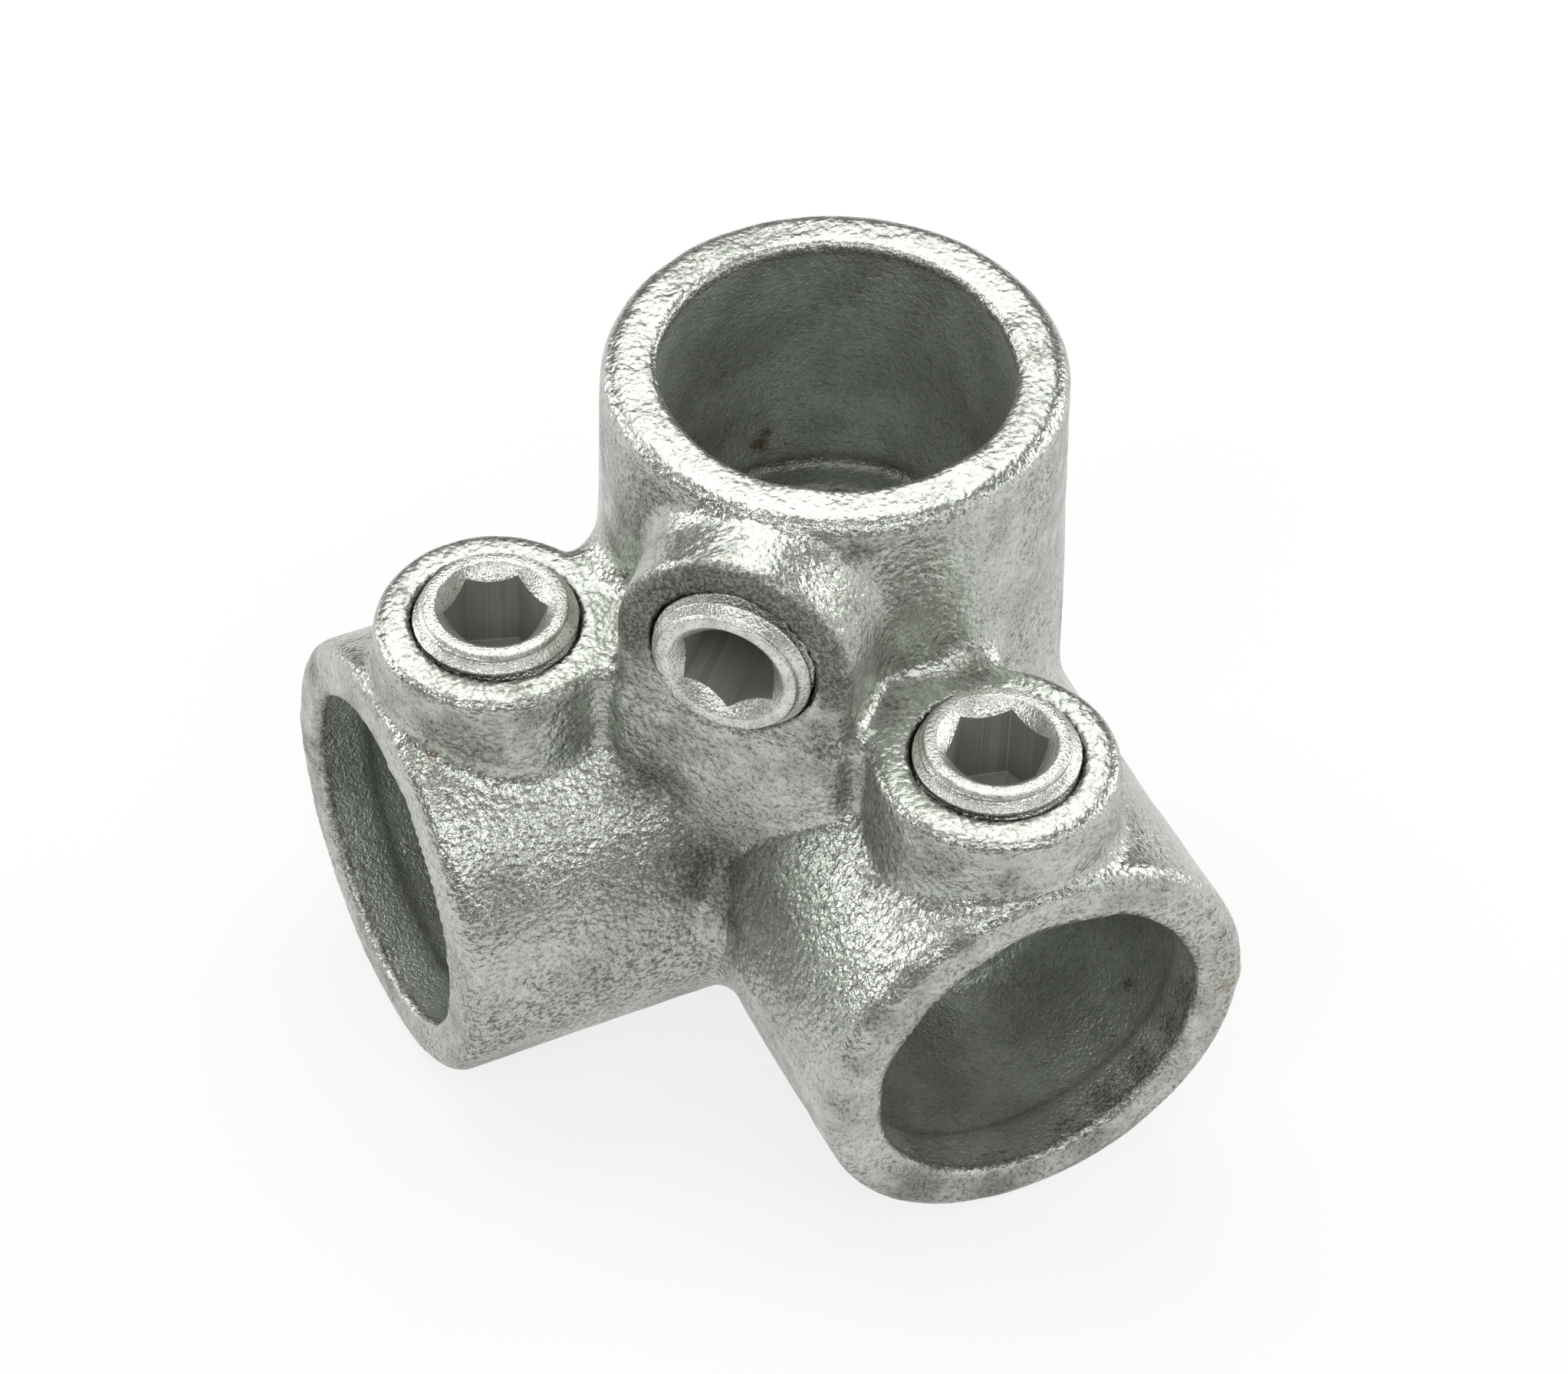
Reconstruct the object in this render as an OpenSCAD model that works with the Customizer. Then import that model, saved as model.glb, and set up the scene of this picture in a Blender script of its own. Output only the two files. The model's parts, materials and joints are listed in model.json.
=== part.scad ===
// Three-way tube clamp corner: a galvanised malleable-iron casting with three equal sockets at
// right angles and a socket set screw for each tube. The axes of the sockets cross at the origin:
// two sockets lie level, along +X and +Y, and the third stands up along +Z.

/* [Tube] */
// Outside diameter of the tube that a socket takes
tube_d = 26.9; // [21:0.1:34]
// Difference between bore and tube, across the diameter
tube_play = 0.9; // [0.2:0.1:1.5]

/* [Sockets] */
// From the crossing of the axes to each mouth
reach = 39.5; // [36:0.5:56]
// From a mouth to the stop that the tube end meets
socket_depth = 24; // [20:0.5:25]
// Wall of a socket at its mouth
wall = 4.3; // [3.5:0.1:6]
// Taper of the upright socket, which lets the pattern draw from the mould, in degrees
draft = 1.5; // [0.5:0.1:3]
// Rounding of a rim's outer edge
rim_round = 1.6; // [0.4:0.1:2.2]
// Rounding of a rim's inner edge
mouth_round = 0.6; // [0.2:0.1:1.2]
// Width of the stop ledge
stop_ledge = 3; // [1:0.1:5]
// Length of the close lip at the mouth of a level socket
lip_length = 4.4; // [2:0.1:6]
// Length of the close land before the stop of a level socket
land_length = 5; // [2:0.1:7]
// Depth of the cored relief between lip and land
relief = 0.5; // [0.2:0.1:1]

/* [Junction] */
// Radius of the fillets in the crotches between the sockets
crotch_round = 1.5; // [0.5:0.1:4]
// Wall of the rounded corner behind the sockets
corner_wall = 5; // [4:0.1:7]
// How far the bottom of that corner stays above what the level sockets lie on
corner_lift = 0.4; // [0.2:0.1:2]

/* [Bosses] */
// From a mouth to the axis of its set screw
screw_inset = 10.5; // [9.5:0.1:13]
// Height of a boss face above the socket's wall
boss_rise = 5.3; // [3:0.1:9]
// Metal around a screw hole
boss_wall = 3; // [2:0.1:4]
// Rounding of the edge of a boss face
boss_round = 1.8; // [0.4:0.1:2.4]
// Fillet between the side of a boss and its socket
boss_fillet = 3; // [1:0.1:4]
// How far the straight flank of a level boss stands in from the round of the boss
flank_inset = 0.8; // [0.4:0.1:2]
// Fillet between the back of a level boss and the upright socket
web_fillet = 2.5; // [2:0.1:4]
// How far that fillet's web stays below the boss face
web_drop = 0.8; // [0.4:0.1:2]

/* [Set screws] */
// Outside diameter of the thread
thread_d = 13; // [10:0.1:14]
// Gap between a screw and its hole, on each side
thread_play = 0.08; // [0.05:0.01:0.2]
// How far a screw stands out of its boss
screw_proud = 1.5; // [0.8:0.1:4]
// How far the cup point stays behind the bore's wall
point_back = 0.2; // [0.1:0.1:2]
// Width across the flats of the key hole
key_width = 7; // [5:0.1:7.4]
// Depth of the key hole
key_depth = 7.5; // [4:0.5:8]
// Diameter of the countersink around the key hole
sink_d = 9.4; // [8.6:0.1:10]
// Width of the flat ring around the countersink
ring_width = 1; // [0.5:0.1:1.4]
// Height of the turned neck between that ring and the thread
neck_height = 0.8; // [0.4:0.1:1.5]
// Bevel at the cup point
point_bevel = 1.2; // [0.5:0.1:2]
// Diameter of the cup at the point
cup_d = 7; // [4:0.1:8]
// Depth of the cup
cup_depth = 1.5; // [0.5:0.1:2]
// Turn of the X screw's key hole, in degrees
key_turn_x = 41; // [0:1:60]
// Turn of the Y screw's key hole, in degrees
key_turn_y = 47; // [0:1:60]
// Turn of the upright socket's key hole, in degrees
key_turn_upright = 1; // [0:1:60]

/* [Hidden] */
$fn = 96;

// Cutting tools run past the faces that they open by this much
past = 1;
// Fillet solids start this deep under the wall that they run into
seated = 0.1;

bore_r = (tube_d + tube_play) / 2;
mouth_r = bore_r + wall;
root_r = mouth_r + reach * tan(draft);
stop_at = reach - socket_depth;
stop_r = bore_r - stop_ledge;
corner_r = root_r - corner_wall;
relief_r = bore_r + relief;

screw_at = reach - screw_inset;
thread_r = thread_d / 2;
hole_r = thread_r + thread_play;
boss_r = hole_r + boss_wall;
flank_r = boss_r - flank_inset;
boss_face = mouth_r + boss_rise;
boss_skin = mouth_r - seated;

screw_top = boss_face + screw_proud;
screw_point = bore_r + point_back;
screw_length = screw_top - screw_point;
sink_r = sink_d / 2;
ring_r = sink_r + ring_width;
key_corner_r = key_width / sqrt(3);

// What is made on the X socket, and again on the Y socket
module on_level_sockets() {
    children();
    mirror([1, -1, 0]) children();
}

// What is made on all three sockets, from an upright one whose screw points along +X
module on_all_sockets() {
    on_level_sockets() rotate(a = 180, v = [1, 0, 1]) children();
    rotate(45) children();
}

// What an edge rounding takes off a square corner, with the corner at the origin
module corner_waste(radius) {
    translate([-radius, -radius])
        difference() {
            square(radius + past);
            circle(radius);
        }
}

// Half section of a socket's outside, from the crossing to its mouth
module socket_section(foot_r) {
    difference() {
        polygon([[0, 0], [foot_r, 0], [mouth_r, reach], [0, reach]]);
        translate([mouth_r, reach]) corner_waste(rim_round);
    }
}

// Outside of the X socket
module level_socket() {
    rotate([0, 90, 0]) rotate_extrude() socket_section(mouth_r);
}

// Outside of the upright socket, with the rounded corner under it
module upright_socket() {
    corner_depth = mouth_r - corner_lift;
    rotate_extrude() {
        socket_section(root_r);
        intersection() {
            circle(root_r);
            translate([0, -corner_depth]) square([root_r, corner_depth]);
        }
    }
}

// Quarter ring that fills the crotch between the X and Y sockets
module crotch() {
    bend = mouth_r + crotch_round;
    translate([bend, bend, 0])
        rotate([0, 0, 180])
            rotate_extrude(angle = 90)
                translate([bend, 0]) circle(mouth_r - seated);
}

// One side of a boss, from the socket's axis to its face, with the fillet to the round wall
module boss_side(half_width) {
    fillet_x = half_width + boss_fillet;
    fillet_y = sqrt(pow(boss_skin + boss_fillet, 2) - pow(fillet_x, 2));
    touch = boss_skin / (boss_skin + boss_fillet);
    difference() {
        union() {
            square([half_width, boss_face]);
            polygon([
                [0, 0],
                [half_width, fillet_y],
                [fillet_x, fillet_y],
                [fillet_x * touch, fillet_y * touch],
            ]);
        }
        translate([fillet_x, fillet_y]) circle(boss_fillet);
        translate([half_width, boss_face]) corner_waste(boss_round);
    }
}

// Round end of a boss, kept behind the plane of the rim
module boss_end() {
    intersection() {
        translate([0, 0, screw_at]) rotate([0, 90, 0]) rotate_extrude() boss_side(boss_r);
        translate([0, -mouth_r, 0]) cube([boss_face, 2 * mouth_r, screw_at + boss_r + seated]);
    }
}

// Straight flank of the X socket's boss, on the side of the crotch
module level_flank() {
    rotate([90, 0, 90]) linear_extrude(screw_at) boss_side(flank_r);
}

// Web with a fillet that closes the notch between the back of the X boss and the upright socket
module back_web() {
    upright_r = mouth_r + (reach - boss_face) * tan(draft) - seated;
    from_axis = upright_r + web_fillet;
    from_screw = boss_r - seated + web_fillet;
    web_x = (pow(from_axis, 2) - pow(from_screw, 2) + pow(screw_at, 2)) / (2 * screw_at);
    web_y = -sqrt(pow(from_axis, 2) - pow(web_x, 2));
    linear_extrude(boss_face - web_drop)
        difference() {
            polygon([[0, 0], [screw_at, 0], [web_x, web_y]]);
            translate([web_x, web_y]) circle(web_fillet);
        }
}

// Straight flanks of the upright boss, down into the crotch
module upright_flanks() {
    rotate(45)
        linear_extrude(screw_at)
            rotate(-90) {
                boss_side(boss_r);
                mirror([1, 0]) boss_side(boss_r);
            }
}

// Rounding of a rim's inner edge
module mouth_waste() {
    translate([bore_r, reach - mouth_round])
        difference() {
            square(mouth_round);
            translate([mouth_round, 0]) circle(mouth_round);
        }
}

// What the bore takes out of a socket, from the mouth to the stop
module bore() {
    rotate_extrude() {
        translate([0, stop_at]) square([bore_r, socket_depth + past]);
        mouth_waste();
    }
}

// Cored relief between the lip and the land of the X socket
module core_relief() {
    relief_length = socket_depth - lip_length - land_length;
    rotate([0, 90, 0])
        translate([0, 0, stop_at + land_length])
            rotate_extrude()
                polygon([
                    [0, 0],
                    [bore_r, 0],
                    [relief_r, relief],
                    [relief_r, relief_length - relief],
                    [bore_r, relief_length],
                    [0, relief_length],
                ]);
}

// Window through a stop, into the hollow corner
module stop_window() {
    cylinder(r = stop_r, h = stop_at + past);
}

// Hole for a set screw, from the bore out through the boss
module screw_hole() {
    translate([0, 0, screw_at]) rotate([0, 90, 0]) cylinder(r = hole_r, h = boss_face + past);
}

module casting() {
    color("#a9ada7")
        difference() {
            union() {
                on_level_sockets() {
                    level_socket();
                    level_flank();
                    back_web();
                    rotate([90, 0, 0]) crotch();
                }
                crotch();
                upright_socket();
                upright_flanks();
                on_all_sockets() boss_end();
            }
            on_level_sockets() core_relief();
            sphere(corner_r);
            on_all_sockets() {
                bore();
                stop_window();
                screw_hole();
            }
        }
}

// Set screw with its point at the origin and its key hole up
module set_screw(key_turn) {
    difference() {
        rotate_extrude()
            polygon([
                [0, cup_depth],
                [cup_d / 2, 0],
                [thread_r - point_bevel, 0],
                [thread_r, point_bevel],
                [thread_r, screw_length - neck_height - (thread_r - ring_r)],
                [ring_r, screw_length - neck_height],
                [ring_r, screw_length],
                [0, screw_length],
            ]);
        translate([0, 0, screw_length - key_depth])
            rotate(key_turn)
                cylinder(r = key_corner_r, h = key_depth + past, $fn = 6);
        translate([0, 0, screw_length - sink_r])
            cylinder(r1 = 0, r2 = sink_r + past, h = sink_r + past);
    }
}

module set_screw_x() {
    color("silver") translate([screw_at, 0, screw_point]) set_screw(key_turn_x);
}

module set_screw_y() {
    color("silver") translate([0, screw_at, screw_point]) set_screw(key_turn_y);
}

module set_screw_upright() {
    color("silver")
        rotate(45)
            translate([screw_point, 0, screw_at])
                rotate([0, 90, 0])
                    set_screw(key_turn_upright);
}

casting();
set_screw_x();
set_screw_y();
set_screw_upright();
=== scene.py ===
import json
import math

import bpy
import numpy as np
from bpy.props import FloatProperty, FloatVectorProperty, IntProperty, PointerProperty
from bpy.types import Operator, Panel, PropertyGroup
from mathutils import Matrix, Vector


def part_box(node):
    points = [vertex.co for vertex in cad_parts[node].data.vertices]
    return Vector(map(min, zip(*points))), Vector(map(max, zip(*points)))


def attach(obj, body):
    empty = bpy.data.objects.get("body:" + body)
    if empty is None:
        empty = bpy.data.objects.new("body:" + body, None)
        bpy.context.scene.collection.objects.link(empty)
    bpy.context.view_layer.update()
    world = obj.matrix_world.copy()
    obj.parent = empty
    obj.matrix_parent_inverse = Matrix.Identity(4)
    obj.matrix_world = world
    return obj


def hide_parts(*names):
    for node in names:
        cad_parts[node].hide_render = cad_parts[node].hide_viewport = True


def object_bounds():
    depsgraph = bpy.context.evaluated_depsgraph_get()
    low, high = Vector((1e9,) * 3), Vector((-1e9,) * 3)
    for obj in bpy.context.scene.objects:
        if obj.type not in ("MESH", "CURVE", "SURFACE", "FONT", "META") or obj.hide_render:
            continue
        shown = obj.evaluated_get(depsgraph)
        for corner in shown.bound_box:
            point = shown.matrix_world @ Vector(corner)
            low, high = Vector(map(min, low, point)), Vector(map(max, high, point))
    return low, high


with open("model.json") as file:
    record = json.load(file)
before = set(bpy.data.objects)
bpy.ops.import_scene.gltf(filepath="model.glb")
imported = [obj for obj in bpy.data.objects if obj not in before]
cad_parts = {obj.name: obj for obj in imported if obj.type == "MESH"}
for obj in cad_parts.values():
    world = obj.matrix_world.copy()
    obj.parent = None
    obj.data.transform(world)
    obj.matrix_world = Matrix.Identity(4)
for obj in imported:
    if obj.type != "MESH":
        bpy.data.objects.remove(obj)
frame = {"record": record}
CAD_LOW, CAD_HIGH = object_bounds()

bl_info = {
    "name": "Tube clamp corner fitting",
    "version": (1, 0, 0),
    "blender": (4, 5, 0),
    "location": "View3D > Sidebar > Tube clamp",
    "description": "Finished surfaces and studio for a galvanised three-way tube clamp",
    "category": "Object",
}

MM = 0.001
MOUNTS = {mount["name"]: mount for mount in frame["record"]["mounts"]}
BODY_LOW, BODY_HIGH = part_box("casting")
SCREW_LOW, SCREW_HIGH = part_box("set_screw_x")

# Half the diagonal of a square with a side of one
HALF_DIAGONAL = math.sqrt(0.5)
# Two slopes whose cosine is above this run side by side
PARALLEL = 0.99
# Step of the forward differences that give a field's slope
STEP = 0.01 * MM
# About how many points of a field's grid are worked out at once
SLAB = 120000
# Least squared slope, squared sine and length to divide by
LEAST_SLOPE, LEAST_SINE, LEAST_LENGTH = 0.1, 1e-6, 1e-12
# Rounds of smoothing a surface, and of drawing it onto its field
ROUNDS = 3
# Kinds of ray to which the floor glows
SEEN = ("Camera", "Glossy")
# Play around a set screw, and how far it stands out of its boss
SCREW_PLAY, SCREW_PROUD = 0.08 * MM, 1.5 * MM
# Rows of a screw's grid that lie in its key hole
KEY_ROWS = 4
# Radius of the small flat caps that close a screw's grid
CAP = 0.02 * MM
# Part of a groove's triangle that is cut, which leaves it a flat bottom
GROOVE_CUT = 0.85
# Parts of a turned edge's rounding by which its grid rows stand in or down
CUP_PART, SOFT_PART, HALF_PART, SINK_PART = 0.4, 0.3, 0.5, 0.1
# How fast a boss's fillet shrinks towards the rim, and to what
FILLET_SHRINK, FILLET_LEAST = 0.8, 0.3 * MM
# Distance over which the fillets between the sockets get tight
FILLET_CHANGE = 8 * MM
# How far out a bore's wall still counts as inside, and the depth over which that sets in
WALL_NEAR, ENTRY = 0.8 * MM, 1.5 * MM
# The band of painted shade just inside a mouth: its depth, half its width, how far out it reaches and its
# strength
SHADE_LINE_DEPTH, SHADE_LINE_WIDTH, SHADE_LINE_NEAR, SHADE_LINE_STRENGTH = 0.8 * MM, 0.5 * MM, 0.7 * MM, 0.7
# How far the unevenness of a mouth's inner edge reaches
LIP_REACH = 1.2 * MM
# Painted shade at the upright bore's end: how far above the stop it starts, and over what length
BORE_SHADE_START, BORE_SHADE_LENGTH = 2 * MM, 4 * MM
# Sandy zinc: the slope at which it starts, and what lumps and bores add and take
SANDY_SLOPE, SANDY_LUMPS, SANDY_INSIDE = 0.5, 0.3, 0.2
# Upward slope from which a surface starts to count as level
LEVEL_SLOPE = 0.75
# The dark ring: how far over the boss's edge in millimetres, and how it fades lower down
RING_OVER, RING_FADE, RING_LOW = 1.6, 4 * MM, 1.2
# Scattered dirt: what is everywhere, and what its patches add
DIRT_EVEN, DIRT_PATCHES = 0.2, 0.3
# Painted shade in the gap around a screw: how far outside its hole, and half its width
GAP_SHADE_OUT, GAP_SHADE_WIDTH = 0.05 * MM, 0.22 * MM
# Dull staining on the casting, which in the crotch and in the notch between the bosses also paints shade:
# place and radius in millimetres, and strength
STAINS_AND_SHADE = (
    (18.5, 17.0, 7.0, 4.5, 0.85), (17.8, 19.8, 4.2, 3.5, 0.7), (21.2, 12.3, 14.2, 4.5, 0.8),
    (19.9, 13.8, 12.5, 3.5, 0.6), (18.3, 0.8, 31.0, 4.0, 0.5), (17.4, -4.5, 34.0, 4.0, 0.5),
    (18.2, -2.0, 26.0, 3.5, 0.5), (33.4, 8.4, 19.0, 3.5, 0.5), (37.2, 5.4, 19.5, 3.5, 0.5),
    (10.9, 22.2, 23.0, 3.0, 0.7), (5.5, 19.5, 25.5, 2.5, 0.5), (17.2, 38.8, 1.5, 2.0, 0.6),
    (7.2, 20.9, 27.6, 2.5, 0.45), (8.6, 22.4, 25.4, 2.5, 0.6), (5.3, 21.3, 23.8, 3.0, 0.55),
    (3.0, 19.2, 24.2, 3.0, 0.5), (-2.4, 20.4, 23.9, 3.0, 0.6), (16.7, 24.1, 7.2, 6.0, 0.5),
    (4.0, 37.8, 19.5, 3.5, 0.5), (8.0, 34.6, 19.5, 3.5, 0.5), (9.4, 31.0, 19.5, 3.0, 0.5),
    (17.5, 30.2, 4.8, 6.0, 0.3), (6.5, 16.9, 37.2, 2.0, 0.7), (9.0, 15.8, 37.6, 1.5, 0.6),
    (16.3, 38.8, 6.0, 2.0, 0.6), (14.2, 38.8, 10.0, 2.0, 0.6), (11.3, 38.8, 13.2, 2.0, 0.6),
    (7.7, 38.8, 15.6, 2.0, 0.6), (-13.7, 37.8, -1.5, 2.2, 0.8), (-12.5, 37.8, -5.5, 2.2, 0.8),
    (-10.4, 37.8, -8.9, 2.2, 0.8), (-7.4, 37.8, -11.6, 2.2, 0.8), (-4.0, 37.8, -13.3, 2.2, 0.7),
    (-12.6, 31.3, -6.9, 0.8, 1.0), (-0.3, -13.9, 18.6, 0.9, 1.0), (-0.9, -13.9, 19.7, 0.7, 1.0),
    (33.0, 8.2, 22.2, 2.0, 0.4), (10.1, 39.5, -11.7, 5.0, 0.6), (3.0, 39.5, -15.5, 4.5, 0.6),
    (39.5, -13.5, 9.5, 4.0, 0.6), (39.5, -16.0, -2.0, 4.0, 0.6), (39.5, 15.5, -4.0, 3.0, 0.4),
)
# Patches of clean bright zinc, given in the same way
CLEAN = ((-2.5, 18.4, 31.0, 7.0, 0.6), (12.5, 15.0, 38.0, 4.0, 0.6))
# Specks of rust, given in the same way
RUST = ((-16.4, 39.5, -0.2, 0.7, 0.5), (37.1, 6.3, 17.5, 0.6, 0.5), (-2.4, 20.4, 23.9, 0.6, 0.5),
        (-0.3, -13.9, 18.6, 0.8, 0.5), (-0.9, -13.9, 19.7, 0.6, 0.4))
# Soft lights: name, azimuth and elevation in degrees, side in metres and power in watts
LAMPS = (
    ("top light", 256, 64, 0.9, 5.4), ("right light", 180, 22, 0.5, 2.8),
    ("left back light", 315, 22, 0.5, 2.8), ("front light", 90, 48, 0.5, 1.9),
    ("left light", 27, 43, 0.4, 1.6), ("low light", 135, 22, 0.5, 1.2),
)
# Edge length of the table of random values that lumps repeat
TABLE = 32

# Widths of the patterns in the zinc
CLOUD_SIZE, PATCH_SIZE, LUMP_SIZE = 6 * MM, 2.2 * MM, 0.9 * MM
CELL_SIZE, MOTTLE_SIZE, SAND_SIZE = 0.5 * MM, 0.4 * MM, 0.26 * MM
# Heights of the patterns in the zinc, in millimetres
LUMP_HEIGHT, CELL_HEIGHT, SAND_HEIGHT = 0.16, 0.065, 0.07
# What level faces and bores take off its lumps, and take off and add to its sand
LEVEL_CALM, INSIDE_CALM = 0.45, 0.2
LEVEL_FINE, INSIDE_COARSE = 0.65, 1.3
# Middle of a noise, and how far noises fray sandy zinc, staining with its painted shade, and specks
MIDDLE = 0.5
SANDY_PATCH, STAIN_AND_SHADE_PATCH, STAIN_AND_SHADE_MOTTLE, SPECK_PATCH = 1.5, 0.6, 1.8, 0.5
# Ranges over which the marks and the noises of the zinc set in
SANDY_RANGE, STAIN_AND_SHADE_RANGE, SPECK_RANGE = (0.2, 0.8), (0.2, 0.85), (0.36, 0.62)
ZINC_RANGE, CORE_RANGE, GRIME_AND_SHADE_RANGE = (0.32, 0.68), (0.36, 0.66), (0.42, 0.62)
PIT_RANGE, CELL_RANGE = (0.45, 0.33), (0.25, 0.7)
# How much of a pit is sand, the rest being mottle
PIT_SAND = 0.6
# How far the painted light on level faces, bores, dark dirt with painted shade, pits, sandy pits and cells
# cover what is under them
LEVEL_LIGHT_COVER, CORE_COVER, GRIME_AND_SHADE_COVER = 0.5, 0.7, 0.85
PIT_COVER, SANDY_PIT_COVER, CELL_COVER = 0.25, 0.25, 0.15
# Colours of the zinc, from dark to bright: smooth, level with painted light, sandy and in the bores
ZINC = ((0.44, 0.466, 0.412, 1), (0.62, 0.645, 0.592, 1))
LIT_LEVEL_ZINC = (0.58, 0.606, 0.55, 1)
SANDY_ZINC = ((0.13, 0.137, 0.115, 1), (0.55, 0.573, 0.52, 1))
CORE_ZINC = ((0.36, 0.392, 0.335, 1), (0.56, 0.6, 0.525, 1))
# Colours of what lies on the zinc: dark dirt that also serves as painted shade, pits, and the marks that the
# mesh carries: painted shade at the upright bore's end, rust, and painted shade in the gap around each screw
GRIME_AND_SHADE = ((0.045, 0.043, 0.034, 1), (0.22, 0.222, 0.19, 1))
PIT = (0.05, 0.05, 0.043, 1)
MARKS = {"deep": (0.05, 0.054, 0.045, 1), "rust": (0.2, 0.08, 0.03, 1), "screw_gap_shade": (0.03, 0.026, 0.02, 1)}
# Roughness of the zinc, and what sand, staining with its painted shade, and bores add
ZINC_ROUGH, SANDY_ROUGH, STAIN_AND_SHADE_ROUGH, INSIDE_ROUGH = 0.25, 0.08, 0.2, 0.05
# How metallic the zinc is, and what staining with its painted shade, and bores take off
ZINC_METAL, STAIN_AND_SHADE_DULL, INSIDE_DULL = 0.96, 0.3, 0.35

# Widths of the plating's patterns, and heights of two in millimetres
HAZE_SIZE, GRAIN_SIZE, STREAK_SIZE = 1.8 * MM, 0.24 * MM, 0.22 * MM
GRAIN_HEIGHT, STREAK_HEIGHT = 0.09, 0.025
# Ranges over which haze and specks set in, and how far specks cover
HAZE_RANGE, SPOT_RANGE, SPOT_COVER = (0.4, 0.68), (0.42, 0.3), 0.6
# Colours of the plating, clean and hazy, of specks and of broach lines
PLATE = ((0.74, 0.74, 0.7, 1), (0.55, 0.55, 0.51, 1))
SPOT = (0.12, 0.115, 0.1, 1)
BROACH = ((0.21, 0.21, 0.19, 1), (0.38, 0.38, 0.345, 1))
# Roughness of the plating, and what haze and key hole add
PLATE_ROUGH, HAZE_ROUGH, KEY_ROUGH = 0.26, 0.12, 0.1
# How metallic the plating is, and what the key hole takes off
PLATE_METAL, KEY_DULL = 0.95, 0.45

# White light, the floor's matt white, and how much of the floor is glow
WHITE, MATT_WHITE, GLOW = (1, 1, 1, 1), (0.9, 0.9, 0.9, 1), 0.8
# Width of the camera's sensor in millimetres, and where its view starts
SENSOR, VIEW_START = 36, 0.01


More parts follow.
